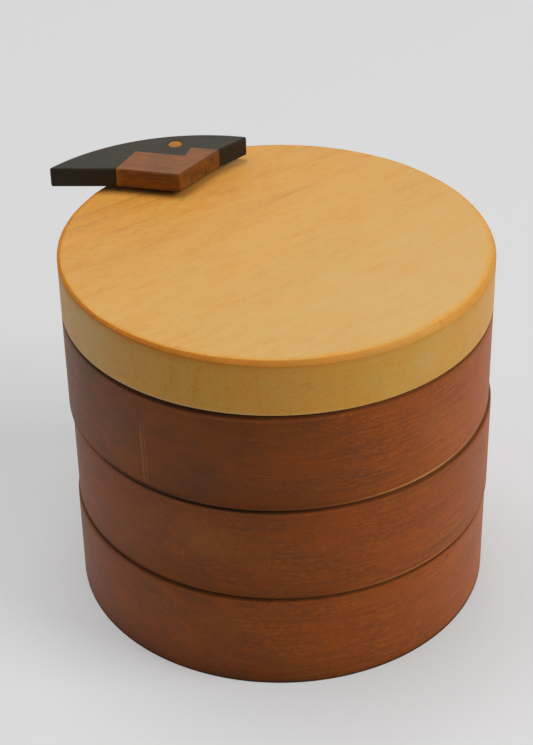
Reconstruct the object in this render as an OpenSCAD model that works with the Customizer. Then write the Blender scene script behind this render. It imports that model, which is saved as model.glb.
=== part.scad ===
// Round three-tier trinket box in wood.
// Three trays and a thick lid are threaded on one upright dowel near the rim, and each swings out
// sideways on it. A crescent handle of two woods is glued to the top of the dowel.
// The origin is the centre of the underside. +Z is up and +Y points to the dowel.

/* [Tiers] */
// Outside diameter of the lid and of the trays
box_d = 130; // [115:1:150]
// Height of a tray
tray_h = 32.8; // [26:0.2:40]
// Thickness of the lid
lid_h = 17.6; // [12:0.2:20]
// Thickness of a tray's wall
wall = 7; // [6:0.5:8]
// Thickness of a floor panel
floor_t = 4; // [3:0.5:5]
// Width of the rebate that takes the edge of a floor panel
rebate = 3; // [2:0.5:4]
// Radius on the top edge of a tray
tray_round = 1.5; // [0.8:0.1:2.5]
// Radius on the top edge of the lid
lid_round = 1.2; // [0.8:0.1:2.5]
// Chamfer that eases the other edges of the tiers
ease = 0.4; // [0.3:0.1:0.8]

/* [Dowel] */
// Diameter of the dowel
pin_d = 4.7; // [4:0.1:5]
// Play between the dowel and the bores that turn on it, on the diameter
pin_play = 0.14; // [0.06:0.02:0.18]
// Distance from the rim to the axis of the dowel
pin_inset = 6; // [5.5:0.25:7]
// Wood left below the blind bore in the bottom tray
bore_floor = 8; // [6:1:14]
// Depth of the top of the dowel below the top of the handle
pin_sink = 0.1; // [0.1:0.1:0.8]
// Radius of the lobe of wood round the bore in a tray
lobe_r = 9; // [8:0.5:10]
// Radius of the hollow curve from the lobe to the wall
lobe_fillet = 8; // [6:0.5:10]

/* [Handle] */
// Thickness of the handle
handle_t = 6.3; // [5:0.1:8]
// Gap between the lid and the handle
handle_gap = 1.8; // [1:0.1:3]
// Radius of the back of the crescent
back_r = 59.8; // [57:0.2:62]
// Distance from the dowel to the back of the crescent
back_inset = 5.7; // [5.2:0.1:6.5]
// Angle that the long horn spans round the back
long_horn = 43; // [40:0.5:45]
// Angle that the short horn spans round the back
short_horn = 23; // [21:0.5:25]
// Distance from the dowel to the nose of the block, towards the middle of the lid
nose_out = 21.3; // [20:0.1:23]
// Distance that the nose lies to the side of the long horn
nose_aside = 0.8; // [0:0.1:3]
// Turn of the block in the crescent
block_turn = -21.1; // [-24:0.1:-19]
// Length of the long front edge of the block
block_w = 20.4; // [19:0.1:22]
// Depth of the long step of the block
block_d = 12.6; // [11.5:0.1:13.5]
// Depth that the short step adds
step_d = 6.1; // [5:0.1:6.5]
// Distance from the nose to the riser between the steps
step_w = 2.9; // [2:0.1:5]
// Lean of the side of the block next to the long horn
heel_lean = 12; // [8:0.5:15]
// Lean of the riser between the steps
riser_lean = 5; // [3:0.5:10]
// Lean of the short front edge of the block
nose_lean = 22.5; // [20:0.5:25]
// Length taken off both sides of a tip to blunt it
tip_blunt = 0.7; // [0.3:0.1:1.5]
// Chamfer that eases the edges of the handle
handle_ease = 0.7; // [0.3:0.1:1]

/* [Pose] */
// Turn of the middle tray from the bottom tray
middle_turn = 0.5; // [-3:0.1:3]
// Turn of the upper tray from the bottom tray
upper_turn = -0.5; // [-3:0.1:3]
// Turn of the lid from the bottom tray
lid_turn = -0.5; // [-3:0.1:3]
// Turn of the handle from its place along the rim
handle_turn = -24.9; // [-60:0.1:60]

/* [Hidden] */
$fn = 96;
skin = 1;                                   // overrun of a cutting solid
glue = 0.1;                                 // glue line round a floor panel
bite = 0.05;                                // how far a hollow curve cuts into the wall and the lobe it joins
slip = 0.02;                                // air between two tiers, so that they turn freely
mouth_stop = 4;                             // angle by which the chamfer of a mouth ends short of the hollow curve
box_r = box_d / 2;
well_r = box_r - wall;
pin_y = box_r - pin_inset;
pin_at = [0, pin_y];
bore_d = pin_d + pin_play;

// Centre of the hollow curve that is tangent to the wall and to the lobe
reach_wall = well_r - lobe_fillet;
reach_lobe = lobe_r + lobe_fillet;
fillet_y = (pow(reach_wall, 2) - pow(reach_lobe, 2) + pow(pin_y, 2)) / (2 * pin_y);
fillet_x = sqrt(pow(reach_wall, 2) - pow(fillet_y, 2));

// Levels of the stack
middle_z = tray_h + slip;
upper_z = 2 * middle_z;
lid_z = 3 * middle_z;
handle_z = lid_z + lid_h + handle_gap;
handle_top = handle_z + handle_t;

// Corners of the handle, from the dowel, with +Y towards the rim
back_y = back_inset - back_r;
long_tip = on_back(-long_horn);
short_tip = on_back(short_horn);
nose = [-nose_aside, -nose_out];
block_top = block_d + step_d;
block_heel = on_block([-block_w, 0]);
block_toe = on_block([block_top * tan(nose_lean), block_top]);
block_inside = [
    block_heel,
    on_block([block_d * tan(heel_lean) - block_w, block_d]),
    on_block([block_d * tan(riser_lean) - step_w, block_d]),
    on_block([block_top * tan(riser_lean) - step_w, block_top]),
    block_toe
];

tray_wood = "#6B3A20";
floor_wood = "#7A4A2C";
lid_wood = "#CF9A58";
black_wood = "#3A332C";
brown_wood = "#8E6243";
dowel_wood = "#C79458";

// A point of the block, given along its long front edge and across it
function on_block(p) = nose + [
    p.x * cos(block_turn) - p.y * sin(block_turn),
    p.x * sin(block_turn) + p.y * cos(block_turn)
];

// A point of the back of the crescent, given by its angle from the dowel
function on_back(angle) = [back_r * sin(angle), back_y + back_r * cos(angle)];

// A point on the line through two others, at a distance from the first
function along(from, to, run) = from + run * (to - from) / norm(to - from);

// Swings a tier about the dowel
module swung(turn) {
    translate(pin_at) rotate(turn) translate(-pin_at) children();
}

// The blank of a tier: a disc, rounded over along its top edge and eased at its foot
module blank(h, soft) {
    rotate_extrude() {
        polygon([[0, 0], [box_r - ease, 0], [box_r, ease], [box_r, h - soft], [0, h - soft]]);
        square([box_r - soft, h]);
        translate([box_r - soft, h - soft]) circle(soft);
    }
}

// The hollow of a tray, round but for the lobe at the dowel, grown outwards by g
module well(h, g) {
    fillet_at = [fillet_x, fillet_y];
    wall_at = fillet_at * (well_r + rebate + skin) / fillet_y;
    difference() {
        cylinder(h = h, r = well_r + g);
        translate([0, 0, -skin])
            linear_extrude(h + 2 * skin)
                difference() {
                    union() {
                        translate(pin_at) circle(lobe_r - g);
                        polygon([pin_at, fillet_at, wall_at, [-wall_at.x, wall_at.y], [-fillet_x, fillet_y]]);
                    }
                    for (side = [-1, 1]) translate([side * fillet_x, fillet_y]) circle(lobe_fillet + g + bite);
                }
    }
}

// Chamfer round the mouth of the hollow, stopped where the wall runs into the lobe
module mouth_cut() {
    stop = atan2(fillet_x, fillet_y) + mouth_stop;
    run = ease + skin;
    rotate(90 + stop)
        rotate_extrude(angle = 360 - 2 * stop)
            polygon([
                [well_r - skin, tray_h - run], [well_r + run, tray_h + skin], [well_r - skin, tray_h + skin]
            ]);
}

// A tray's wall: the blank, hollowed, rebated below and bored for the dowel from bore_z up
module ring(bore_z) {
    difference() {
        blank(tray_h, tray_round);
        translate([0, 0, -skin]) well(tray_h + 2 * skin, 0);
        translate([0, 0, -skin]) well(floor_t + skin, rebate);
        translate([0, pin_y, bore_z]) cylinder(h = tray_h + skin - bore_z, d = bore_d);
        mouth_cut();
    }
}

// A floor panel, with room for its glue line
module panel() {
    well(floor_t, rebate - glue);
}

// Chamfers along a straight edge, at the foot and at the top of the handle, which lies on the left of the edge
module edge_cut(from, to) {
    run = to - from;
    deep = handle_ease + skin;
    for (face = [[0, 1], [handle_t, -1]])
        translate([from.x, from.y, face[0]])
            rotate([0, 0, atan2(run.y, run.x)])
                rotate([90, 0, 90])
                    translate([0, 0, -skin])
                        linear_extrude(norm(run) + 2 * skin)
                            polygon([[deep, -face[1] * skin], [-skin, face[1] * deep], [-skin, -face[1] * skin]]);
}

// A disc with its edges eased, whose rim is the back of the handle
module back_disc() {
    translate([0, back_y, 0])
        rotate_extrude()
            polygon([
                [0, 0], [back_r - handle_ease, 0], [back_r, handle_ease],
                [back_r, handle_t - handle_ease], [back_r - handle_ease, handle_t], [0, handle_t]
            ]);
}

// Puts a piece of the handle at its height and turn
module on_dowel() {
    translate([0, pin_y, handle_z]) rotate(handle_turn) children();
}

// Bottom tray: its bore is blind, and the dowel stands in it
module base_ring() {
    color(tray_wood) ring(bore_floor);
}

module base_floor() {
    color(floor_wood) panel();
}

// Middle tray, bored through
module middle_ring() {
    color(tray_wood) swung(middle_turn) translate([0, 0, middle_z]) ring(-skin);
}

module middle_floor() {
    color(floor_wood) swung(middle_turn) translate([0, 0, middle_z]) panel();
}

// Upper tray, bored through
module upper_ring() {
    color(tray_wood) swung(upper_turn) translate([0, 0, upper_z]) ring(-skin);
}

module upper_floor() {
    color(floor_wood) swung(upper_turn) translate([0, 0, upper_z]) panel();
}

// Lid: a solid disc, bored through
module lid() {
    color(lid_wood) swung(lid_turn) translate([0, 0, lid_z])
        difference() {
            blank(lid_h, lid_round);
            translate([0, pin_y, -skin]) cylinder(h = lid_h + 2 * skin, d = bore_d);
        }
}

// Black crescent of the handle, cut out for the block and bored for the glued end of the dowel
module handle_wing() {
    blunt_angle = asin(tip_blunt / back_r);
    long_front = along(long_tip, block_heel, tip_blunt);
    long_end = along(long_front, on_back(blunt_angle - long_horn), back_inset);
    short_front = along(short_tip, block_toe, tip_blunt);
    short_end = along(short_front, on_back(short_horn - blunt_angle), back_inset);
    outline = concat(
        [long_end, long_front], block_inside, [short_front, short_end],
        [[short_end.x, back_r], [long_end.x, back_r]]
    );
    color(black_wood) on_dowel()
        difference() {
            intersection() {
                back_disc();
                translate([0, 0, -skin]) linear_extrude(handle_t + 2 * skin) polygon(outline);
            }
            translate([0, 0, -skin]) cylinder(h = handle_t + 2 * skin, d = pin_d);
            edge_cut(long_tip, block_heel);
            edge_cut(block_toe, short_tip);
        }
}

// Brown stepped block let into the front of the crescent
module handle_block() {
    color(brown_wood) on_dowel()
        difference() {
            linear_extrude(handle_t) polygon(concat(block_inside, [nose]));
            edge_cut(block_heel, nose);
            edge_cut(nose, block_toe);
        }
}

// Dowel, glued into the handle and standing in the bottom tray, with both ends eased
module pivot_pin() {
    pin_h = handle_top - pin_sink - bore_floor;
    pin_r = pin_d / 2;
    color(dowel_wood) translate([0, pin_y, bore_floor])
        rotate_extrude()
            polygon([
                [0, 0], [pin_r - ease, 0], [pin_r, ease],
                [pin_r, pin_h - ease], [pin_r - ease, pin_h], [0, pin_h]
            ]);
}

base_ring();
base_floor();
middle_ring();
middle_floor();
upper_ring();
upper_floor();
lid();
handle_wing();
handle_block();
pivot_pin();
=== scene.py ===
# Round wooden trinket box: three trays and a thick lid swing on one dowel,
# under a crescent handle of two woods.
import math

import bmesh
import bpy
import numpy as np
from mathutils import Matrix


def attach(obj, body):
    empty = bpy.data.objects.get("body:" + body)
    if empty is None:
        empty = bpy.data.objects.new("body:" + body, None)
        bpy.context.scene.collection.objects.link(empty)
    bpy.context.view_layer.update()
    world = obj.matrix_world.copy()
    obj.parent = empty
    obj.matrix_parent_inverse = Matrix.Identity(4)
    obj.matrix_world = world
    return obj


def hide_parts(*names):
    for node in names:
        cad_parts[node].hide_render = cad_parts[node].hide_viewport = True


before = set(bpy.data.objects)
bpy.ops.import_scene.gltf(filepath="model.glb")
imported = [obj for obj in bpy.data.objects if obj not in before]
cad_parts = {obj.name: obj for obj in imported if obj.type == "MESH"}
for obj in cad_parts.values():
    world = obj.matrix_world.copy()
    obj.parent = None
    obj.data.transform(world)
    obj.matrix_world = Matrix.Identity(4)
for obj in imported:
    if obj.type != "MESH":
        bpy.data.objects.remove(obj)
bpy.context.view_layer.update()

mm = 0.001
scene = bpy.context.scene
scene.view_settings.view_transform = "Standard"


def linear(hexColour):                        # sRGB hex to the linear values that the shaders take
    srgb = np.array([int(hexColour[i:i + 2], 16) / 255 for i in (0, 2, 4)])
    return (*np.where(srgb <= 0.04045, srgb / 12.92, ((srgb + 0.055) / 1.055) ** 2.4).tolist(), 1.0)


# adds one node: settings are its own properties, inputs are plain values or the sockets that feed it
def addNode(tree, kind, inputs=None, stops=None, **settings):
    made = tree.nodes.new("ShaderNode" + kind)
    for key, value in settings.items():
        setattr(made, key, value)
    if stops:                                 # a colour ramp's stops, as (place, hex)
        ramp = made.color_ramp.elements
        ramp.remove(ramp[1])
        ramp[0].position = stops[0][0]
        ramp[0].color = linear(stops[0][1])
        for place, colour in stops[1:]:
            ramp.new(place).color = linear(colour)
    for key, value in (inputs or {}).items():
        if isinstance(value, bpy.types.NodeSocket):
            tree.links.new(value, made.inputs[key])
        else:
            made.inputs[key].default_value = value
    return made


# what all the woods share: the kind of noise, the seeds that part the noises, and the spans of a noise over
# which something comes in, with how strong it then is
grain = {
    "noise": {"Scale": 1.0, "Detail": 3.0, "Roughness": 0.55}, "seedWay": (1.0, 1.7, 2.3),
    "wanderSeed": 3.1, "ringSeed": 31.7, "driftSeed": 21.9, "dashSeed": 11.3,
    "figureSeed": 1.3, "nextSeed": 7.7,       # of the figure's first noise, and on to the next
    "ringPiece": (30, 7, 7), "ringSpan": {"From Min": 0.40, "From Max": 0.58},   # a growth line's pieces
    "driftSpan": {"From Min": 0.40, "From Max": 0.64},
    "dashTone": {"From Min": 0.35, "From Max": 0.65}, "dashInPale": 0.35, "dashEdge": 0.1, "dashDepth": 0.8,
    "markSpan": {"From Min": 0.2, "From Max": 0.6}, "markLeast": 0.7,
    "shineSpan": {"From Min": 0.3, "From Max": 0.7}, "dirtDull": 0.4, "ior": 1.5}


# Wood as a solid, in the board's own axes: X along the grain, Y across it, Z through its thickness. The
# figure is a sum of noises, each stretched to its own size in mm: growth lines, streaks, slow clouds, mottle
# and fine fibres. Real fibres and pores, of 0.02 to 0.3 mm, are too fine to show here, so all the woods draw
# them coarser. A wood gives its figure as (size, share), its drift as (size, share, hue), its dashes as
# (size, start, share, hue), and its sap side as (turn, how much paler, lift of the whole).
def woodMaterial(name, wood):
    material = bpy.data.materials.new(name)
    material.use_nodes = True
    tree = material.node_tree
    tree.nodes.clear()
    coord = addNode(tree, "TexCoord").outputs["Object"]
    board = addNode(tree, "Mapping", {
        "Vector": coord, "Location": [v * mm for v in wood["place"]],
        "Rotation": [math.radians(v) for v in wood["lean"]]}).outputs[0]

    # noise whose grains have this size in mm along the three axes, at a place of its own by its seed
    def stretched(size, seed, source):
        scaled = addNode(tree, "Mapping", {
            "Vector": source, "Scale": [1 / (v * mm) for v in size],
            "Location": [seed * v for v in grain["seedWay"]]}).outputs[0]
        return addNode(tree, "TexNoise", {"Vector": scaled, **grain["noise"]})

    # the lines wander a little on their way along the board
    wander = stretched(wood["wanderSize"], grain["wanderSeed"], board).outputs["Color"]
    centred = addNode(tree, "VectorMath", {0: wander, 1: (0.5, 0.5, 0.5)}, operation="SUBTRACT").outputs[0]
    sway = wood["wander"] * mm
    swayed = addNode(tree, "VectorMath", {0: centred, 1: (0.0, sway, sway), 2: board},
                     operation="MULTIPLY_ADD").outputs[0]

    # tone: 0.5 plus each noise's swing about its middle
    noises = {}
    sapTurn, sapPale, lift = wood["sap"]      # the plank pales towards its sap side
    tone = 0.5 + lift - 0.5 * sum(share for size, share in wood["figure"].values())
    for count, (part, (size, share)) in enumerate(wood["figure"].items()):
        seed = grain["figureSeed"] + grain["nextSeed"] * count
        noises[part] = stretched(size, seed, swayed).outputs["Fac"]
        tone = addNode(tree, "Math", {0: noises[part], 1: share, 2: tone},
                       operation="MULTIPLY_ADD").outputs[0]
    sapWay, boxRadius = math.radians(sapTurn), tray["radius"] * mm
    side = (math.cos(sapWay) / boxRadius, math.sin(sapWay) / boxRadius, 0)
    across = addNode(tree, "VectorMath", {0: coord, 1: side}, operation="DOT_PRODUCT").outputs["Value"]
    tone = addNode(tree, "Math", {0: across, 1: sapPale, 2: tone}, operation="MULTIPLY_ADD").outputs[0]
    colour = addNode(tree, "ValToRGB", {"Fac": tone}, stops=wood["stops"]).outputs["Color"]
    layers = []                               # what lies over the plank's own colour, as (amount, hue)

    # single growth lines that the plane has cut: dark at these places across the board, and broken along it
    if "rings" in wood:
        near, far, hue, places = wood["rings"]
        acrossBoard = addNode(tree, "SeparateXYZ", {0: swayed}).outputs["Y"]
        place = addNode(tree, "MapRange", {
            "Value": acrossBoard, "From Min": near * mm, "From Max": far * mm}).outputs[0]
        ring = addNode(tree, "ValToRGB", {"Fac": place}, stops=places).outputs["Color"]
        breaks = stretched(grain["ringPiece"], grain["ringSeed"], board).outputs["Fac"]
        broken = addNode(tree, "MapRange", {"Value": breaks, **grain["ringSpan"]}).outputs[0]
        layers.append((addNode(tree, "Math", {0: ring, 1: broken}, operation="MULTIPLY").outputs[0], hue))

    # the hue drifts from place to place
    size, share, hue = wood["drift"]
    patches = stretched(size, grain["driftSeed"], board).outputs["Fac"]
    drift = addNode(tree, "MapRange", {"Value": patches, **grain["driftSpan"], "To Max": share}).outputs[0]
    layers.append((drift, hue))

    # dashes along the grain, pores or mineral, show most in dark wood
    size, start, share, hue = wood["dashes"]
    strong = addNode(tree, "MapRange", {
        "Value": tone, **grain["dashTone"],
        "To Min": share, "To Max": share * grain["dashInPale"]}).outputs[0]
    specks = stretched(size, grain["dashSeed"], swayed).outputs["Fac"]
    dashes = addNode(tree, "MapRange", {
        "Value": specks, "From Min": start, "From Max": start + grain["dashEdge"],
        "To Max": strong}).outputs[0]
    layers.append((dashes, hue))

    # marks on the mesh: dirt and painted shade darken some places, wear and painted sheen and highlights
    # pale others, both unevenly
    marks = {}
    for mark in ("dirtAndShade", "paleAndSheen"):
        marks[mark] = addNode(tree, "Attribute", attribute_name=mark).outputs["Fac"]
        share, hue = wood[mark]
        uneven = addNode(tree, "MapRange", {
            "Value": noises["mottle"], **grain["markSpan"],
            "To Min": share * grain["markLeast"], "To Max": share}).outputs[0]
        amount = addNode(tree, "Math", {0: marks[mark], 1: uneven}, operation="MULTIPLY").outputs[0]
        layers.append((amount, hue))
    for amount, hue in layers:                # inputs 6 and 7 are the two colours, output 2 is their mixture
        colour = addNode(tree, "Mix", {"Factor": amount, 6: colour, 7: linear(hue)},
                         data_type="RGBA").outputs[2]

    # dashes stand lower than the fibres, fibres vary the shine, and the dark marks of dirt and painted shade
    # dull it
    height = addNode(tree, "Math", {0: dashes, 1: -grain["dashDepth"], 2: noises["fibres"]},
                     operation="MULTIPLY_ADD").outputs[0]
    bump = addNode(tree, "Bump", {"Height": height, "Distance": wood["relief"] * mm, "Strength": 1.0})
    smoothest, roughest = wood["rough"]
    dull = addNode(tree, "MapRange", {
        "Value": noises["fibres"], **grain["shineSpan"], "To Min": smoothest, "To Max": roughest}).outputs[0]
    dull = addNode(tree, "Math", {0: marks["dirtAndShade"], 1: grain["dirtDull"], 2: dull},
                   operation="MULTIPLY_ADD", use_clamp=True).outputs[0]
    shader = addNode(tree, "BsdfPrincipled", {
        "Base Color": colour, "Roughness": dull, "Normal": bump.outputs["Normal"], "IOR": grain["ior"],
        "Specular IOR Level": wood["gloss"], "Specular Tint": linear(wood["oil"])})
    addNode(tree, "OutputMaterial", {"Surface": shader.outputs[0]})
    material.diffuse_color = linear(wood["stops"][1][1])
    return material


# vertex numbers of the quads between each loop and the next, and between each point of a loop and the next
def quadBands(loopCount, pointCount):
    loop = np.arange(loopCount)[:, None]
    point = np.arange(pointCount)[None, :]
    ahead = (point + 1) % pointCount
    above = (loop + 1) % loopCount
    return np.stack([loop * pointCount + point, loop * pointCount + ahead,
                     above * pointCount + ahead, above * pointCount + point], axis=-1)


meshing = {"weld": 1e-6, "sliver": 1e-7, "sharpFrom": 50}     # metres, metres and degrees


# points in mm and faces become a piece that stands for a node: doubles merged, normals outwards
def makePiece(name, points, faces, look, body, node, marks=None):
    mesh = bpy.data.meshes.new(name)
    mesh.from_pydata((points * mm).tolist(), [], faces)
    for key, values in (marks or {}).items():
        mark = mesh.attributes.new(key, "FLOAT", "POINT")
        mark.data.foreach_set("value", values.astype(np.float32).ravel())
    work = bmesh.new()
    work.from_mesh(mesh)
    bmesh.ops.remove_doubles(work, verts=work.verts, dist=meshing["weld"])
    bmesh.ops.dissolve_degenerate(work, dist=meshing["sliver"], edges=work.edges)
    bmesh.ops.delete(work, geom=[v for v in work.verts if not v.link_faces], context="VERTS")
    bmesh.ops.recalc_face_normals(work, faces=work.faces)
    openEdges = sum(not e.is_manifold for e in work.edges)
    work.to_mesh(mesh)
    work.free()
    mesh.shade_smooth()
    mesh.set_sharp_from_angle(angle=math.radians(meshing["sharpFrom"]))
    mesh.materials.append(look)
    piece = bpy.data.objects.new(name, mesh)
    scene.collection.objects.link(piece)
    even = piece.modifiers.new("flat faces stay flat", "WEIGHTED_NORMAL")
    even.keep_sharp = True
    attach(piece, body)
    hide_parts(node)
    print(f"{name}: {len(mesh.vertices)} points, {len(mesh.polygons)} faces, {openEdges} open edges")


# swings points about the dowel by an angle in degrees
def swung(points, turn):
    cosTurn, sinTurn = math.cos(math.radians(turn)), math.sin(math.radians(turn))
    x, y = points[..., 0], points[..., 1] - tray["dowelY"]
    return np.stack([cosTurn * x - sinTurn * y, sinTurn * x + cosTurn * y + tray["dowelY"],
                     points[..., 2]], axis=-1)


# bell that is 1 at an angle in degrees and falls off over some degrees to either side
def bell(angle, middle, wide):
    away = (np.degrees(angle) - middle + 180) % 360 - 180
    return np.exp(-(away / wide) ** 2)


# an amount that is least all round, with a bell of more about one angle
def amountAt(angle, least, more, middle, wide):
    return least + more * bell(angle, middle, wide)


quarter = np.linspace(0, math.pi / 2, 6)      # steps of a small rounded edge

# sizes in mm, angles in degrees from the dowel; wear and painted shade as (least, more, angle, width) or
# (angle, width)
tray = {
    "radius": 65.0, "height": 32.8, "slip": 0.02, "well": 58.0, "floor": 4.0, "rebate": 3.0, "glue": 0.1,
    "lobe": 9.0, "fillet": 8.0, "dowelY": 59.0, "bore": 2.42, "blindFrom": 8.0, "foot": 0.35, "mouth": 0.45,
    "columns": 289, "lobeColumns": (-20, 20, 121), "boreColumns": 33, "boreFade": 2.5,
    "topRound": 1.45, "topTall": 1.4, "topLand": 0.4, "topSteps": 14,     # the round is taller than wide
    "topWaves": ((0.08, 3, 1), (0.06, 7, 2)),         # share of the round, waves in a turn, shift by tier
    "belowTop": ((2.6, 0.1), (3.2, 0.0)),             # depth and least painted seam shade of the rows under the round
    "wallRows": (0.88, 0.76, 0.62, 0.48, 0.34, 0.2, 0.08),                # shares of the height
    "footRows": ((0.9, 0.2, 0), (0.4, 0.6, 0), (0.15, 0.95, 1)),          # height, painted shade, and share of the pale foot line
    "kerfAngle": -110.8, "kerfLean": 0.0245, "kerfGap": 1.05, "kerfDepth": 0.05, "kerfWidth": 0.2,
    "kerfColumns": (-112.4, -109.5, 0.08), "kerfSecond": 0.5, "kerfDark": 0.4, "kerfDarkFrom": 0.6,
    "kerfPale": 0.28, "kerfPaleTo": 0.75, "kerfFade": 0.2,
    "seamShadeAt": (245, 40), "seamShadeDeep": (0.8, 0.5, 158, 30), "seamShadeDeepLeft": 2.4, "seamShadeLeftAt": (240, 45),
    "seamShadeFade": 0.7, "seamShadeLeast": 0.1, "footWear": (0.8, 0.4, 165, 50), "footContactShadeAt": (256, 30),
    "footShade": (0.35, 0.65, 228, 45), "shadeHigh": 0.4, "wearGleamWide": 18, "spotHigh": 0.2,
    "mouthWear": 0.4, "frontDarkAt": (218, 30), "topFrontDark": 1.6, "frontDarkMiddle": 0.8, "frontDarkEdge": 1.2,
    "footFrontDark": 2.0}

# Each tray's turn about the dowel, its wear and painted shade, and where it lay in the plank that gave
# all three. Spots are stains by angle, width, share of the height and strength, or rubbed pale where the
# strength is negative.
tiers = {
    "base": {
        "turn": 0.0, "wearGleamAt": 195.0, "wearGleamShare": 0.05, "footWear": 0.15, "footContactShade": (1.0, 0.0),
        "seamShade": (0.76, 0.14), "footShade": 0.42, "frontDark": 0.09, "spots": [],
        "plank": {"place": (92, -24, -75), "lean": (0, 0.8, -20), "sap": (-32, 0.20, 0.08)}},
    "middle": {
        "turn": 0.5, "wearGleamAt": 174.0, "wearGleamShare": 0.15, "footWear": 0.40, "footContactShade": (0.0, 0.5),
        "seamShade": (0.72, 0.38), "footShade": 0.22, "frontDark": 0.10,
        "spots": [(235, 8, 0.57, -0.07), (243, 8, 0.15, 0.15), (256, 7, 0.40, -0.05)],
        "plank": {"place": (52, -36, 36), "lean": (0, -0.6, -17), "sap": (-32, 0.16, 0.02)}},
    "upper": {
        "turn": -0.5, "wearGleamAt": 170.0, "wearGleamShare": 0.5, "footWear": 0.40, "footContactShade": (0.0, 0.9),
        "seamShade": (0.62, 0.34), "footShade": 0.10, "frontDark": 0.22,
        "spots": [(168, 7, 0.55, -0.07), (207, 9, 0.45, 0.09), (244, 8, 0.55, 0.05), (260, 7, 0.50, -0.04)],
        "plank": {"place": (210, 47, -30), "lean": (0, 0.5, -21), "sap": (-32, 0.36, -0.07)}}}
tierTop = tray["height"] + tray["slip"]
stackTop = len(tiers) * tierTop               # where the lid lies

# Mahogany, turned and oiled: red brown with bands of growth lines, dark pores in short dashes along the
# grain, painted shade in the seams and a low warm shine
mahogany = {
    "wander": 2.2, "wanderSize": (60, 25, 14),
    "figure": {
        "lines": ((40, 14, 0.5), 0.90), "streaks": ((50, 1.6, 12), 0.14), "clouds": ((50, 22, 16), 0.40),
        "mottle": ((9, 4, 2.4), 0.32), "fibres": ((8, 1.8, 0.34), 0.90), "pores": ((1.5, 1.0, 0.6), 0.85)},
    "drift": ((24, 13, 9), 0.52, "843C05"), "dashes": ((9, 1.6, 0.36), 0.61, 0.46, "3A1604"),
    # first colour: painted seam and foot shade, plus stains and glue lines; second: wear and a painted foot
    # highlight
    "dirtAndShade": (1.0, "0E0502"), "paleAndSheen": (0.85, "D69A52"),
    "stops": [(0.1, "57321C"), (0.40, "6A3311"), (0.6, "7A390D"), (0.88, "954A10")],
    "rough": (0.40, 0.56), "relief": 0.03, "gloss": 0.30, "oil": "FFD8A2"}
# the floors are panels of the same wood, cleaner and more even than the walls
panelLook = woodMaterial("oiledMahogany.panel", {
    **mahogany, "place": (330, 12, 40), "lean": (0, 0.5, -18), "sap": (-32, 0.05, 0),
    "stops": [(0.15, "622D0D"), (0.40, "773E12"), (0.6, "844615"), (0.88, "95521C")]})


# Distance from a tray's centre to the wall of its hollow, by the angle from the dowel, the hollow grown by
# some mm. Next to the dowel it is the lobe's near side, then the far side of the hollow fillet, then the
# round wall.
def wellRadius(angle, grow):
    off = np.abs(angle)
    reach, span = tray["well"] - tray["fillet"], tray["lobe"] + tray["fillet"]
    filletY = (reach ** 2 - span ** 2 + tray["dowelY"] ** 2) / (2 * tray["dowelY"])
    filletX = math.sqrt(reach ** 2 - filletY ** 2)
    filletAngle = math.atan2(filletX, filletY)
    share = (tray["lobe"] - grow) / span
    meetAngle = math.atan2(filletX * share, tray["dowelY"] + (filletY - tray["dowelY"]) * share)
    lobeSide = tray["dowelY"] * np.cos(off) - np.sqrt(
        np.maximum((tray["lobe"] - grow) ** 2 - (tray["dowelY"] * np.sin(off)) ** 2, 0))
    past = filletAngle - off
    filletSide = reach * np.cos(past) + np.sqrt(
        np.maximum((tray["fillet"] + grow) ** 2 - (reach * np.sin(past)) ** 2, 0))
    return np.where(off < meetAngle, lobeSide, np.where(off < filletAngle, filletSide, tray["well"] + grow))


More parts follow.
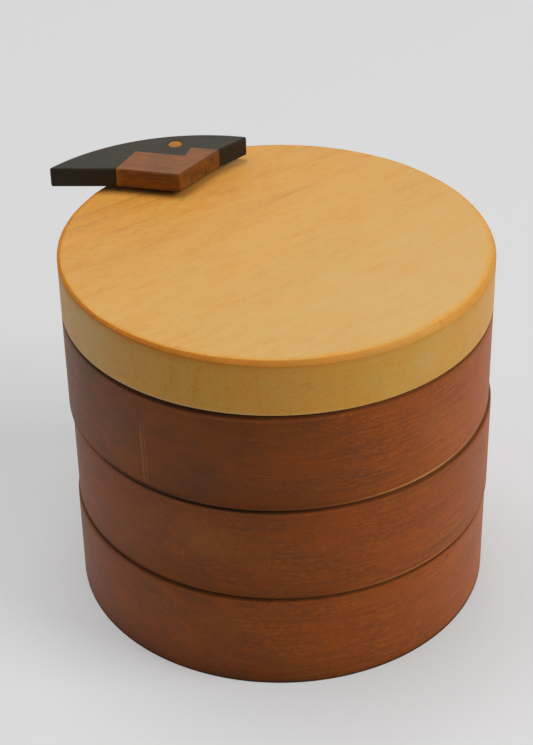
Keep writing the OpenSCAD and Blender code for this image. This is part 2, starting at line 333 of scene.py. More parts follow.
# A tray's wall: one closed section of rounded top edge, wall, worn foot, rebate, hollow and mouth, carried
# round the centre. At the bore the section parts in two, outside and inside the dowel's axis, and the bore's
# wall joins the halves.
def trayRing(name, look, body, node, level, tier, blind, kerf):
    boreHalf = math.asin(tray["bore"] / tray["dowelY"])
    hair = 1e-6                               # radians that rounding may cost
    boreTurns = np.linspace(-math.pi / 2, math.pi / 2, tray["boreColumns"])
    columns = [np.linspace(-180, 180, tray["columns"])[:-1], np.linspace(*tray["lobeColumns"]),
               np.degrees(np.arcsin(np.sin(boreTurns) * tray["bore"] / tray["dowelY"]))]
    if kerf:
        columns.append(np.arange(*tray["kerfColumns"]))
    angle = np.radians(np.unique(np.round(np.concatenate(columns), 6)))      # equal to six digits count once
    high, radius, foot, mouth = (tray[key] for key in ("height", "radius", "foot", "mouth"))
    hollow, groove = wellRadius(angle, 0), wellRadius(angle, tray["rebate"])
    soft = tray["topRound"] * sum((share * np.sin(waves * angle + shift * level)
                                   for share, waves, shift in tray["topWaves"]), 1)

    # two glue lines of a closed saw cut through the wall, a little out of upright: their strength by height
    def glueLines(z):
        if not kerf:
            return 0 * angle
        at = tray["kerfAngle"] + tray["kerfLean"] * z
        wide = math.degrees(tray["kerfWidth"] / radius)
        return bell(angle, at, wide) + tray["kerfSecond"] * bell(angle, at - tray["kerfGap"], wide)

    # the tier's spots at a share of the height
    def spotsAt(share):
        return sum((strength * bell(angle, at, wide) * math.exp(-((share - up) / tray["spotHigh"]) ** 2)
                    for at, wide, up, strength in tier["spots"]), 0 * angle)

    # the line where the top and the foot part for the bore
    middle = tray["dowelY"] * np.cos(angle)
    half = np.sqrt(np.maximum(tray["bore"] ** 2 - (tray["dowelY"] * np.sin(angle)) ** 2, 0))
    half = np.where(np.abs(angle) < boreHalf - hair, half, 0)
    away = np.clip((np.abs(angle) - boreHalf) / math.radians(tray["boreFade"]), 0, 1)
    away = away * away * (3 - 2 * away)
    topLine = middle + away * ((hollow + radius) / 2 - middle)
    footLine = middle + away * ((groove + radius) / 2 - middle)
    footHalf = 0 * half if blind else half

    # wear round the tray, with painted shade in the seams and at the foot, and a painted highlight on the
    # worn foot
    # a pale line along the foot: wear with a painted highlight on it
    worn = tier["wearGleamShare"] * bell(angle, tier["wearGleamAt"], tray["wearGleamWide"])
    footDeep = foot + tier["footWear"] * amountAt(angle, *tray["footWear"])
    seamShading = amountAt(angle, *tier["seamShade"], *tray["seamShadeAt"])
    deeper = tray["seamShadeDeepLeft"] * tier["seamShade"][1] * bell(angle, *tray["seamShadeLeftAt"])
    seamShadeDeep = amountAt(angle, *tray["seamShadeDeep"]) + deeper
    frontDark = tier["frontDark"] * bell(angle, *tray["frontDarkAt"])     # darker towards the front; near the seams this is painted shade
    shade = tier["footShade"] * amountAt(angle, *tray["footShade"])
    footContactShade = amountAt(angle, *tier["footContactShade"], *tray["footContactShadeAt"])
    footDarkening = tray["footFrontDark"] * frontDark + shade

    # rows of the section as radius, height, dirt and painted shade, and pale marks and painted highlight
    rows = [(topLine + half, high, 0, 0), (radius - soft - tray["topLand"], high, 0, 0)]
    # the top round, under the tray or lid above, is darkened with painted seam shade
    for bend in np.linspace(0, math.pi / 2, tray["topSteps"]):
        below = tray["topTall"] * soft * (1 - math.cos(bend))
        seamShade = np.clip((seamShadeDeep - below) / tray["seamShadeFade"] + 0.5, tray["seamShadeLeast"], 1)
        rows.append((radius - soft + soft * math.sin(bend), high - below, seamShading * seamShade, 0))
    # the rows under the round carry on the painted seam shade
    rows += [(radius, high - below, np.maximum(least, tray["topFrontDark"] * frontDark), 0)
             for below, least in tray["belowTop"]]
    for share in tray["wallRows"]:
        lines, spots = glueLines(high * share), spotsAt(share)
        dark = tray["kerfDark"] * lines * np.clip((share - tray["kerfDarkFrom"]) / tray["kerfFade"], 0, 1)
        pale = tray["kerfPale"] * lines * np.clip((tray["kerfPaleTo"] - share) / tray["kerfFade"], 0, 1)
        # near the top and the foot the darkening is painted seam shade
        darkening = (frontDark * (tray["frontDarkMiddle"] + tray["frontDarkEdge"] * (2 * share - 1) ** 2)
                 + shade * max(0, 1 - share / tray["shadeHigh"]) ** 2)
        rows.append((radius - tray["kerfDepth"] * lines, high * share,
                     np.maximum(dark, darkening) + np.maximum(spots, 0), pale + np.maximum(-spots, 0)))
    # the foot: painted shade where it sits on the tray or paper below, and a pale line of wear with a
    # painted highlight
    rows += [(radius, footDeep + above, np.maximum(footDarkening, footContactShade * seamShade), worn * pale)
             for above, seamShade, pale in tray["footRows"]]
    rows += [(radius - foot + foot * math.cos(bend), footDeep - footDeep * math.sin(bend),
              np.maximum(math.sin(bend) ** 2, np.maximum(footDarkening, footContactShade)), worn * math.cos(bend))
             for bend in quarter]
    footHigh = len(rows)
    rows += [(footLine + footHalf, 0, 0, 0), (footLine - footHalf, 0, 0, 0), (groove, 0, 0, 0),
             (groove, tray["floor"], 0, 0), (hollow, tray["floor"], 0, 0), (hollow, high / 2, 0, 0)]
    rows += [(hollow + mouth - mouth * math.cos(bend), high - mouth + mouth * math.sin(bend), 0,
              tray["mouthWear"] * math.sin(2 * bend)) for bend in quarter]
    topLow = len(rows)
    rows.append((topLine - half, high, 0, 0))
    if blind:                                 # the bore's own floor
        rows += [(middle + half, tray["blindFrom"], 0, 0), (middle - half, tray["blindFrom"], 0, 0)]

    reach, z, dirtAndShade, paleAndSheen = (
        np.stack([np.broadcast_to(row[part], angle.shape) for row in rows]) for part in range(4))
    points = np.stack([reach * np.sin(angle), reach * np.cos(angle), z + level * tierTop], axis=-1)
    count = len(angle)
    quads = quadBands(topLow + 1, count)
    keep = np.ones(topLow + 1, bool)
    keep[[footHigh, topLow]] = False          # the two slits that the bore opens
    faces = [quads[keep].reshape(-1, 4)]
    inBore = np.flatnonzero(np.abs(angle) < boreHalf + hair)
    left, right = inBore[:-1], inBore[1:]
    endHigh, endLow = (topLow + 1, topLow + 2) if blind else (footHigh, footHigh + 1)
    joins = [(0, endHigh), (topLow, endLow)] + ([(endHigh, endLow)] if blind else [])
    for start, end in joins:
        faces.append(np.stack([start * count + left, start * count + right,
                               end * count + right, end * count + left], axis=-1))
    makePiece(name, swung(points, tier["turn"]).reshape(-1, 3), np.concatenate(faces).tolist(),
              look, body, node, {"dirtAndShade": dirtAndShade, "paleAndSheen": paleAndSheen})


panel = {"columns": 145, "lobeColumns": (-20, 20, 81), "shares": (0, 0.3, 0.6, 0.85, 1.0)}


# A floor panel: a polar grid from its middle out to the rebate's outline, over and back underneath
def trayFloor(name, body, node, level, turn):
    columns = [np.linspace(-180, 180, panel["columns"])[:-1], np.linspace(*panel["lobeColumns"])]
    angle = np.radians(np.unique(np.concatenate(columns)))
    edge = wellRadius(angle, tray["rebate"] - tray["glue"])
    shares = np.array(panel["shares"])
    reach = np.concatenate([shares, shares[::-1]])[:, None] * edge
    z = np.repeat([tray["floor"], 0.0], len(shares))[:, None] + 0 * reach + level * tierTop
    points = np.stack([reach * np.sin(angle), reach * np.cos(angle), z], axis=-1)
    faces = quadBands(len(reach), len(angle))[:-1].reshape(-1, 4).tolist()
    makePiece(name, swung(points, turn).reshape(-1, 3), faces, panelLook, body, node)


for level, (key, tier) in enumerate(tiers.items()):
    look = woodMaterial("oiledMahogany." + key, {**mahogany, **tier["plank"]})
    trayRing(key + "TrayRing", look, key + "_tray", key + "_ring", level, tier,
             blind=key == "base", kerf=key == "upper")
    trayFloor(key + "TrayFloor", key + "_tray", key + "_floor", level, tier["turn"])
print("trays made")

# wear as (least, more, angle, width)
lid = {
    "height": 17.6, "foot": 0.35, "turn": -0.5,
    "columns": 361, "boreColumns": (-8, 8, 65), "nickColumns": (165, 170, 41),
    "bevelWide": 1.25, "wideSwing": 0.2, "bevelDeep": 1.1, "deepSwing": 0.95, "bevelAt": 150.0,
    "bevelFlat": 0.65, "bevelSteps": 12, "ragged": 0.12, "sag": 0.1, "sagShift": 1.3,
    "waves": ((0.5, 5, 0), (0.5, 13, 1), (0.4, 29, 2), (0.3, 53, 0)),     # strength, waves in a turn, start
    "nickAt": 167.5, "nickWide": 0.6, "nickDeep": 0.5, "nickShade": 0.4, "bevelShadeFrom": 0.2,
    "bevelShade": (0.35, 0.65, 250, 50), "footWearGleam": (0.15, 0.85, -107, 32), "leftSheen": (0, 0.62, 270, 17),
    "warm": (0, 0.14, 200, 24), "patch": (0, 0.35, 173, 4.5), "rich": (0, 0.14, -62, 45),
    "bevelShadeRows": ((0.4, 0.5), (1.2, 0.25), (2.6, 0.1), (4.2, 0)),           # mm under the bevel, and painted bevel shade
    "patchRows": ((0.58, 0.6), (0.42, 1), (0.26, 0.7), (0.1, 0)),         # shares of height and patch
    "footRows": (0.5, 0.2), "topLoops": (0.04, 0.15, 0.4, 0.7, 0.985),
    "faded": 0.44, "fadedSwing": 0.24, "fadedAt": 165.0, "fadedPower": 0.55}

# Maple, sanded and oiled: pale gold with slow clouds, a few cut growth lines and brown flecks, a darker
# orange bevel that is painted shade, a painted grey sheen on the wall's left, and a soft shine. The rings'
# greys say how strong a growth line is at each place across the board, from -40 to 100 mm.
maple = {
    "place": (40, 30, 15), "lean": (0, 0.5, -3.6), "wander": 2.4, "wanderSize": (32, 20, 20),
    "sap": (-80, 0.14, -0.03),
    "figure": {
        "lines": ((60, 18, 0.8), 0.14), "streaks": ((45, 3.0, 14), 0.28), "clouds": ((40, 26, 20), 0.35),
        "mottle": ((11, 2.8, 3.6), 0.36), "fibres": ((2.8, 0.75, 0.8), 0.75),
        "flecks": ((1.2, 0.8, 0.7), 0.50)},
    "drift": ((26, 6, 6), 0.26, "C6842C"), "dashes": ((20, 0.9, 5), 0.61, 0.30, "89561A"),
    "rings": (-40, 100, "7A4612", [
        (0.640, "000000"), (0.652, "808080"), (0.657, "C8C8C8"), (0.660, "808080"), (0.690, "000000"),
        (0.745, "000000"), (0.752, "A0A0A0"), (0.757, "000000"), (0.790, "000000"), (0.812, "707070"),
        (0.816, "C0C0C0"), (0.820, "404040"), (0.846, "000000"), (0.856, "B0B0B0"), (0.861, "000000")]),
    # first colour: painted shade on the bevel and foot, with the warm and rich tones; second: wear, fading
    # and a painted sheen
    "dirtAndShade": (0.88, "98500A"), "paleAndSheen": (0.8, "B49C6E"),
    "stops": [(0.2, "AF6B11"), (0.42, "B77E27"), (0.58, "B78636"), (0.82, "B68F44")],
    "rough": (0.38, 0.50), "relief": 0.02, "gloss": 0.30, "oil": "FFE6C0"}
mapleLook = woodMaterial("oiledMaple", maple)


# The lid: loops that run from the bore's foot up the bore, out over the top on straight lines from the
# dowel to the rim, down the bevel and the wall, and back underneath. The bevel is part flat and part round,
# and it is deeper on one side.
def lidDisc():
    columns = [np.linspace(-180, 180, lid["columns"])[:-1], np.linspace(*lid["boreColumns"]),
               np.linspace(*lid["nickColumns"])]
    angle = np.radians(np.unique(np.concatenate(columns)))
    way = np.stack([np.sin(angle), np.cos(angle)], axis=-1)
    axis = np.array([0.0, tray["dowelY"]])
    toRim = way * tray["radius"] - axis
    bore = axis + tray["bore"] * toRim / np.linalg.norm(toRim, axis=-1, keepdims=True)
    high, foot, radius = lid["height"], lid["foot"], tray["radius"]

    # bevel, with two sums of waves for its ragged edges
    uneven, sagging = (
        sum(strength * np.sin(waves * angle + start + count * shift)
            for count, (strength, waves, start) in enumerate(lid["waves"], 1))
        for shift in (0.0, lid["sagShift"]))
    nick = bell(angle, lid["nickAt"], lid["nickWide"])
    swing = np.cos(angle - math.radians(lid["bevelAt"]))
    wide = lid["bevelWide"] + lid["wideSwing"] * swing + lid["ragged"] * uneven + lid["nickDeep"] * nick
    deep = lid["bevelDeep"] + lid["deepSwing"] * swing + lid["sag"] * sagging

    # the wall has a painted grey sheen on its left, painted shade on its bevel, and a pale foot line of wear
    # with a painted highlight; it is richer in front, and hands have rubbed a patch; the top is richer at
    # the handle's left and paler towards the front
    bevelShade, worn, leftSheen, warm, patch, rich = (
        amountAt(angle, *lid[key]) for key in ("bevelShade", "footWearGleam", "leftSheen", "warm", "patch", "rich"))
    faded = lid["faded"] + lid["fadedSwing"] * np.cos(angle - math.radians(lid["fadedAt"]))

    # rows of the rim as radius, height, grime and rubbed
    rim, flat = [], lid["bevelFlat"]
    # the bevel is darkened with painted shade, most on the left and at the nick
    for step in np.linspace(0, 1, lid["bevelSteps"]):
        bend = step * math.pi / 2
        rim.append((radius - wide * (1 - flat * step - (1 - flat) * math.sin(bend)),
                    high - deep * (flat * step + (1 - flat) * (1 - math.cos(bend))),
                    bevelShade * min(1.0, step / lid["bevelShadeFrom"]) * (1 + lid["nickShade"] * nick), 0))
    # under the bevel the painted shade fades down the wall while the painted left sheen comes in
    rim += [(radius, high - deep - below, np.maximum(bevelShade * oil, warm), leftSheen * (1 - oil))
            for below, oil in lid["bevelShadeRows"]]
    rim += [(radius, high * share, warm, leftSheen + patch * part) for share, part in lid["patchRows"]]
    # the foot: a pale line of wear with a painted highlight, and painted shade on its underside
    rim += [(radius, foot + above, 0, pale) for above, pale in zip(lid["footRows"], (leftSheen, worn))]
    rim += [(radius - foot + foot * math.cos(bend), foot - foot * math.sin(bend),
             math.sin(bend) ** 2, worn * math.cos(bend)) for bend in quarter]

    # loops as place, height, grime and rubbed
    top, under = way * rim[0][0][:, None], way * rim[-1][0]
    loops = [(bore, 0, 0, 0), (bore, high, 0, 0)]
    loops += [(bore + share * (top - bore), high, rich * (1 - share), faded * share ** lid["fadedPower"])
              for share in lid["topLoops"]]
    loops += [(way * np.broadcast_to(reach, angle.shape)[:, None], z, dirtAndShade, paleAndSheen)
              for reach, z, dirtAndShade, paleAndSheen in rim]
    loops += [(bore + share * (under - bore), 0, 0, 0) for share in lid["topLoops"][::-1]]
    xy = np.stack([loop[0] for loop in loops])
    z, dirtAndShade, paleAndSheen = (
        np.stack([np.broadcast_to(loop[part], angle.shape) for loop in loops]) for part in (1, 2, 3))
    points = np.concatenate([xy, z[..., None] + stackTop], axis=-1)
    faces = quadBands(len(loops), len(angle)).reshape(-1, 4).tolist()
    makePiece("lidDisc", swung(points, lid["turn"]).reshape(-1, 3), faces,
              mapleLook, "lid", "lid", {"dirtAndShade": dirtAndShade, "paleAndSheen": paleAndSheen})


lidDisc()
print("lid made")

# the handle's own frame has the dowel at its origin, and +Y towards the rim
handle = {
    "thick": 6.3, "gap": 1.8, "turn": -24.9, "backRadius": 59.8, "backInset": 5.697, "longHorn": 43.0,
    "shortHorn": 23.0, "nose": (-0.8, -21.3), "blockTurn": -21.1, "blockLong": 20.4, "blockDeep": 12.6,
    "stepDeep": 6.1, "stepAlong": 2.9, "heelLean": 12.0, "riserLean": 5.0, "noseLean": 22.5,
    "ease": 0.62, "tipRound": 0.64, "noseRound": 0.8, "stripAlong": (0.9, 2.0), "holeRim": 0.12,
    "shortClear": 1.2, "longClear": 1.4, "shortSteps": 28, "longSteps": 48, "holeSteps": 48,
    "cornerSteps": 7}
dowel = {"radius": 2.35, "sink": 0.1, "soft": 0.3, "shoulderLow": 0.05, "crownLow": 0.015, "columns": 64}
handleFoot = stackTop + lid["height"] + handle["gap"]

# Ebony, planed and waxed: nearly black, with faint brown streaks and a grey satin shine on its flat top
ebony = {
    "place": (40, 25, 90), "lean": (0, 2, 36), "wander": 1.0, "wanderSize": (30, 9, 9), "sap": (0, 0, 0),
    "figure": {
        "lines": ((26, 5, 0.6), 0.40), "streaks": ((24, 0.9, 5), 0.50), "clouds": ((24, 8, 6), 0.50),
        "mottle": ((4, 2, 2), 0.40), "fibres": ((7, 0.45, 0.45), 0.55)},
    "drift": ((22, 9, 8), 0.5, "1C130C"), "dashes": ((4, 0.4, 0.4), 0.62, 0.5, "050301"),
    "dirtAndShade": (0.4, "050403"), "paleAndSheen": (0.35, "3A3226"),
    "stops": [(0.2, "040302"), (0.42, "080604"), (0.6, "0F0D09"), (0.85, "28221A")],
    "rough": (0.42, 0.60), "relief": 0.03, "gloss": 0.30, "oil": "FFECC8"}

# Rosewood, planed and waxed: warm brown with darker lines and streaks close together, and more shine than
# the trays
rosewood = {
    "place": (15, 40, 70), "lean": (0, 3, 46), "wander": 0.8, "wanderSize": (24, 8, 8), "sap": (0, 0, 0),
    "figure": {
        "lines": ((22, 4, 0.9), 0.80), "streaks": ((20, 0.9, 4), 0.65), "clouds": ((22, 8, 5), 0.45),
        "mottle": ((3, 1.6, 1.6), 0.60), "fibres": ((5, 0.5, 0.5), 0.95)},
    "drift": ((20, 8, 6), 0.4, "854003"), "dashes": ((3.0, 0.42, 0.42), 0.60, 0.5, "3B1801"),
    "dirtAndShade": (0.6, "331401"), "paleAndSheen": (0.45, "96560E"),
    "stops": [(0.2, "3A1801"), (0.42, "4C2401"), (0.6, "5F3002"), (0.85, "774103")],
    "rough": (0.40, 0.55), "relief": 0.03, "gloss": 0.46, "oil": "FFF4CC"}

# Birch rod, cut off and sanded: a pale spot of end grain, duller than the woods round it, with painted
# shade at its rim
birch = {
    "place": (0, -tray["dowelY"], 0), "lean": (0, 90, 0), "wander": 0.5, "wanderSize": (30, 4, 4),
    "sap": (0, 0, 0),
    "figure": {
        "lines": ((12, 3, 0.5), 0.40), "streaks": ((12, 0.5, 3), 0.30), "clouds": ((20, 3, 3), 0.40),
        "mottle": ((4, 1.4, 1.4), 0.30), "fibres": ((8, 0.35, 0.35), 0.40)},
    "drift": ((12, 3, 3), 0.4, "A0601C"), "dashes": ((4, 0.3, 0.3), 0.62, 0.4, "754211"),
    "dirtAndShade": (0.6, "6E3A0E"), "paleAndSheen": (0.5, "C29A5A"),
    "stops": [(0.2, "6E4616"), (0.42, "7A521E"), (0.6, "845C27"), (0.85, "906832")],
    "rough": (0.5, 0.65), "relief": 0.03, "gloss": 0.30, "oil": "FFE0B0"}
ebonyLook = woodMaterial("waxedEbony", ebony)
rosewoodLook = woodMaterial("waxedRosewood", rosewood)
birchLook = woodMaterial("birchDowel", birch)


# points of the crescent's back, on an arc about its own centre, by their angle in degrees from the middle
def onBack(turn):
    turns, radius = np.radians(np.asarray(turn, float)), handle["backRadius"]
    return np.stack([radius * np.sin(turns), handle["backInset"] - radius + radius * np.cos(turns)], axis=-1)


# point of the block, given along its long front edge from the nose and across it
def onBlock(along, across):
    turn = math.radians(handle["blockTurn"])
    return np.array([handle["nose"][0] + along * math.cos(turn) - across * math.sin(turn),
                     handle["nose"][1] + along * math.sin(turn) + across * math.cos(turn)])


# arc that rounds a corner between two sides, from the first side's tangent point to the second's
def roundCorner(before, corner, after, radius):
    toBefore, toAfter = before - corner, after - corner
    toBefore, toAfter = toBefore / np.linalg.norm(toBefore), toAfter / np.linalg.norm(toAfter)
    halfAngle = math.acos(np.clip(toBefore @ toAfter, -1, 1)) / 2
    inwards = (toBefore + toAfter) / np.linalg.norm(toBefore + toAfter)
    centre = corner + inwards * radius / math.sin(halfAngle)
    start = corner + toBefore * radius / math.tan(halfAngle)
    end = corner + toAfter * radius / math.tan(halfAngle)
    first = math.atan2(*(start - centre)[::-1])
    sweep = (math.atan2(*(end - centre)[::-1]) - first + math.pi) % (2 * math.pi) - math.pi
    turns = first + sweep * np.linspace(0, 1, handle["cornerSteps"])
    return centre + radius * np.stack([np.cos(turns), np.sin(turns)], axis=-1)


# each corner moved in so that every side of the outline steps inwards by its own amount
def stepIn(outline, amounts):
    way = np.roll(outline, -1, axis=0) - outline
    way /= np.linalg.norm(way, axis=-1, keepdims=True)
    out = np.stack([way[:, 1], -way[:, 0]], axis=-1)
    before, amountBefore = np.roll(out, 1, axis=0), np.roll(amounts, 1)
    cross = before[:, 0] * out[:, 1] - before[:, 1] * out[:, 0]
    leastTurn = 0.02                          # a sine: below it the two sides count as one straight line
    turning = np.abs(cross) > leastTurn
    corner = np.stack([amounts * before[:, 1] - amountBefore * out[:, 1],
                       amountBefore * out[:, 0] - amounts * before[:, 0]], axis=-1)
    corner = corner / np.where(turning, cross, 1)[:, None]
    straight = -((amountBefore + amounts) / 2)[:, None] * (before + out) / 2
    return outline + np.where(turning[:, None], corner, straight)


# A flat piece of the handle: the section of its edge, round at the arrises where a side is free and square
# where it is glued, carried along its outline. The faces close it, parted along the line through the dowel's
# hole where it has one.
def handleSlab(name, outline, free, strip, look, node, split=None):
    thick, ease = handle["thick"], handle["ease"]
    lower = [(ease - ease * math.sin(bend), ease - ease * math.cos(bend), math.sin(2 * bend))
             for bend in quarter]
    section = lower + [(inset, thick - z, wear) for inset, z, wear in lower[::-1]]
    count = len(outline)
    freeCorner = np.maximum(free, np.roll(free, 1))
    loops = [np.column_stack([stepIn(outline, free * inset), np.full(count, z)])
             for inset, z, wear in section]
    worn = [freeCorner * wear for inset, z, wear in section]
    pale = [strip * part for part in [0] + [1] * (len(section) - 2) + [0]]   # on the sides, not on the faces
    faces = quadBands(len(loops), count)[:-1].reshape(-1, 4).tolist()
    foot, top = np.arange(count), (len(loops) - 1) * count + np.arange(count)
    if split is None:
        faces += [foot[::-1].tolist(), top.tolist()]
    else:
        hole, rim = handle["holeSteps"], handle["holeRim"]
        turns = np.linspace(0, 2 * math.pi, hole, endpoint=False) - math.pi / 2      # from the hole's front
        ring = dowel["radius"] * np.stack([np.cos(turns), np.sin(turns)], axis=-1)
        flare = 1 + rim / dowel["radius"]
        holeLoops = [(flare, 0), (1, rim), (1, thick - rim), (flare, thick)]
        first = len(loops) * count
        loops += [np.column_stack([ring * scale, np.full(hole, z)]) for scale, z in holeLoops]
        worn += [np.zeros(hole)] * len(holeLoops)
        pale += [np.zeros(hole)] * len(holeLoops)
        faces += (first + quadBands(len(holeLoops), hole)[:-1]).reshape(-1, 4).tolist()
        for side, ringStart in ((foot, first), (top, first + (len(holeLoops) - 1) * hole)):
            ringIndex = ringStart + np.arange(hole)
            rightHalf = np.concatenate([side[:split + 1], ringIndex[hole // 2::-1]])
            leftHalf = np.concatenate([side[split:], side[:1], [ringIndex[0]], ringIndex[:hole // 2 - 1:-1]])
            faces += [rightHalf.tolist(), leftHalf.tolist()]
    points = np.concatenate(loops)
    points[:, 2] += handleFoot
    points[:, 1] += tray["dowelY"]
    makePiece(name, swung(points, handle["turn"]), faces, look, "handle", node,
              {"dirtAndShade": np.concatenate(worn), "paleAndSheen": np.concatenate(pale)})


# the outlines of the crescent and of the block, from straight sides, the back's arc and rounded corners
def handlePieces():
    deep, full = handle["blockDeep"], handle["blockDeep"] + handle["stepDeep"]
    lean = {key: math.tan(math.radians(handle[key])) for key in ("heelLean", "riserLean", "noseLean")}
    nose, heel = np.array(handle["nose"]), onBlock(-handle["blockLong"], 0)
    inner = [onBlock(deep * lean["heelLean"] - handle["blockLong"], deep),
             onBlock(deep * lean["riserLean"] - handle["stepAlong"], deep),
             onBlock(full * lean["riserLean"] - handle["stepAlong"], full)]
    toe = onBlock(full * lean["noseLean"], full)

    # crescent, from the point of its inner edge in front of the dowel, to the right and round its back
    front = inner[0] + (inner[1] - inner[0]) * -inner[0][0] / (inner[1][0] - inner[0][0])
    longTip, shortTip = onBack(-handle["longHorn"]), onBack(handle["shortHorn"])
    rightBack = onBack(np.linspace(handle["shortHorn"] - handle["shortClear"], 0, handle["shortSteps"]))
    leftBack = onBack(np.linspace(0, handle["longClear"] - handle["longHorn"], handle["longSteps"]))[1:]
    shortEnd = roundCorner(toe, shortTip, rightBack[0], handle["tipRound"])
    longEnd = roundCorner(leftBack[-1], longTip, heel, handle["tipRound"])
    toBack = np.concatenate([[front, inner[1], inner[2], toe], shortEnd, rightBack])
    outline = np.concatenate([toBack, leftBack, longEnd, [heel, inner[0]]])
    free = np.ones(len(outline))
    free[[0, 1, 2, -2, -1]] = 0               # the sides that are glued to the block
    handleSlab("handleWing", outline, free, np.zeros(len(outline)), ebonyLook, "handle_wing",
               split=len(toBack) - 1)

    # block, from its heel along the free front edges, with a paler strip of wood at the heel
    strips = [onBlock(along - handle["blockLong"], 0) for along in handle["stripAlong"]]
    noseEnd = roundCorner(heel, nose, toe, handle["noseRound"])
    freeSides = np.concatenate([[heel], strips, noseEnd])
    outline = np.concatenate([freeSides, [toe, inner[2], inner[1], inner[0]]])
    free, strip = np.zeros(len(outline)), np.zeros(len(outline))
    free[:len(freeSides)] = 1
    strip[:2] = 1                             # the heel and the first point beside it
    handleSlab("handleBlock", outline, free, strip, rosewoodLook, "handle_block")


# Dowel: a section carried round its axis, its ends rounded over and its top a little crowned
def pivotDowel():
    angle = np.linspace(0, 2 * math.pi, dowel["columns"], endpoint=False)
    bottom, top = tray["blindFrom"], handleFoot + handle["thick"] - dowel["sink"]
    radius, soft = dowel["radius"], dowel["soft"]
    inset, shoulder = radius - soft, top - dowel["shoulderLow"] - soft
    foot = [(inset + soft * math.sin(bend), bottom + soft - soft * math.cos(bend), 0) for bend in quarter]
    # its rounded top edge carries painted shade, the dark ring of the hole round it
    head = [(inset + soft * math.cos(bend), shoulder + soft * math.sin(bend), math.sin(2 * bend))
            for bend in quarter]
    section = [(0, bottom, 0)] + foot + head + [(radius / 2, top - dowel["crownLow"], 0), (0, top, 0)]
    reach, z, worn = (np.repeat(np.array(part, float)[:, None], len(angle), axis=1)
                      for part in zip(*section))
    points = np.stack([reach * np.cos(angle), tray["dowelY"] + reach * np.sin(angle), z], axis=-1)
    faces = quadBands(len(section), len(angle))[:-1].reshape(-1, 4).tolist()
    makePiece("pivotDowel", points.reshape(-1, 3), faces, birchLook, "handle", "pivot_pin",
              {"dirtAndShade": worn})


handlePieces()
pivotDowel()
print("handle made")

# sizes in mm; ambient is what the air gives the box, and backdrop what is seen of it
studio = {"paper": "CDCDCD", "paperRough": 0.9, "paperShine": 0.1, "halfWidth": 4000.0, "glow": 0.5,
          "ambient": 0.02, "backdrop": 1.0, "aimHeight": 60.0}


# 1 for the rays that show the background: the camera's own, reflected and transmitted ones
def showingRays(tree):
    rays = addNode(tree, "LightPath").outputs
    shown = addNode(tree, "Math", {0: rays["Is Camera Ray"], 1: rays["Is Glossy Ray"]}, operation="MAXIMUM")
    shown = addNode(tree, "Math", {0: shown.outputs[0], 1: rays["Is Transmission Ray"]}, operation="MAXIMUM")
    return shown.outputs[0]


# Matte paper, flat under the box: a pale grey with a soft shadow. Half of what is seen of it is its own
# light, so that it stays even.
paper = bpy.data.materials.new("mattePaper")
paper.use_nodes = True
paperTree = paper.node_tree
paperTree.nodes.clear()
glow = addNode(paperTree, "Math", {0: showingRays(paperTree), 1: studio["glow"]},
               operation="MULTIPLY").outputs[0]
lit = addNode(paperTree, "BsdfPrincipled", {
    "Base Color": linear(studio["paper"]), "Roughness": studio["paperRough"],
    "Specular IOR Level": studio["paperShine"]}).outputs[0]
glowing = addNode(paperTree, "Emission", {"Color": linear(studio["paper"]), "Strength": 1.0}).outputs[0]
both = addNode(paperTree, "MixShader", {"Fac": glow, 1: lit, 2: glowing}).outputs[0]
addNode(paperTree, "OutputMaterial", {"Surface": both})
sweepMesh = bpy.data.meshes.new("paperSweep")
reach = studio["halfWidth"] * mm
corners = [(-reach, -reach, 0), (reach, -reach, 0), (reach, reach, 0), (-reach, reach, 0)]
sweepMesh.from_pydata(corners, [], [(0, 1, 2, 3)])
sweepMesh.materials.append(paper)
sweep = bpy.data.objects.new("paperSweep", sweepMesh)
scene.collection.objects.link(sweep)

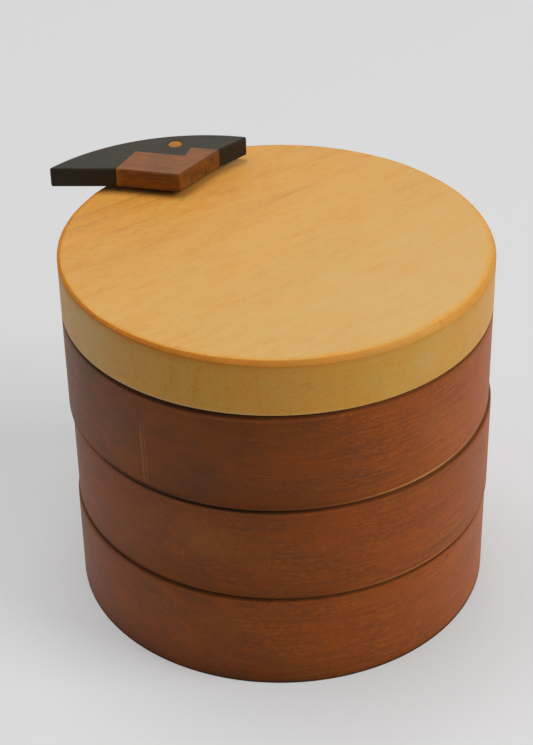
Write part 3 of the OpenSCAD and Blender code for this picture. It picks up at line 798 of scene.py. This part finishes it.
world = bpy.data.worlds.new("studioAir")
scene.world = world
world.use_nodes = True
worldTree = world.node_tree
worldTree.nodes.clear()
ambient, backdrop = (
    addNode(worldTree, "Background", {"Color": (1, 1, 1, 1), "Strength": studio[key]}).outputs[0]
    for key in ("ambient", "backdrop"))
air = addNode(worldTree, "MixShader", {"Fac": showingRays(worldTree), 1: ambient, 2: backdrop}).outputs[0]
addNode(worldTree, "OutputWorld", {"Surface": air})

# camera where the photograph was taken from, by its place in mm and its turn, pitch and roll in degrees
view = {"place": (-266.312, -412.608, 394.925), "turn": -32.357, "pitch": 33.518, "roll": -1.150,
        "focalPixels": 1898.2, "tallPixels": 745, "sensor": 36.0}
lens = bpy.data.cameras.new("photoCamera")
lens.sensor_width = view["sensor"]
lens.lens = view["focalPixels"] / view["tallPixels"] * view["sensor"]
camera = bpy.data.objects.new("photoCamera", lens)
scene.collection.objects.link(camera)
camera.matrix_world = (Matrix.Translation([v * mm for v in view["place"]])
                       @ Matrix.Rotation(math.radians(view["turn"]), 4, "Z")
                       @ Matrix.Rotation(math.radians(90 - view["pitch"]), 4, "X")
                       @ Matrix.Rotation(math.radians(view["roll"]), 4, "Z"))
scene.camera = camera

# soft boxes, each by its turn from the camera's side and rise above the table in degrees, and distance in mm
lamps = {"overhead": {"turn": 200, "rise": 80, "far": 3200, "wide": 1500, "watts": 72},
         "right": {"turn": 72, "rise": 37, "far": 3200, "wide": 1600, "watts": 83},
         "left": {"turn": -85, "rise": 35, "far": 3200, "wide": 2000, "watts": 21},
         "front": {"turn": 20, "rise": 45, "far": 3200, "wide": 2000, "watts": 16}}
for name, lamp in lamps.items():
    light = bpy.data.lights.new(name, "AREA")
    light.shape = "SQUARE"
    light.size = lamp["wide"] * mm
    light.energy = lamp["watts"]
    holder = bpy.data.objects.new(name, light)
    scene.collection.objects.link(holder)
    holder.matrix_world = (Matrix.Translation((0, 0, studio["aimHeight"] * mm))
                           @ Matrix.Rotation(math.radians(view["turn"] + lamp["turn"]), 4, "Z")
                           @ Matrix.Rotation(math.radians(90 - lamp["rise"]), 4, "X")
                           @ Matrix.Translation((0, 0, lamp["far"] * mm)))
print("studio lit")

print("done")
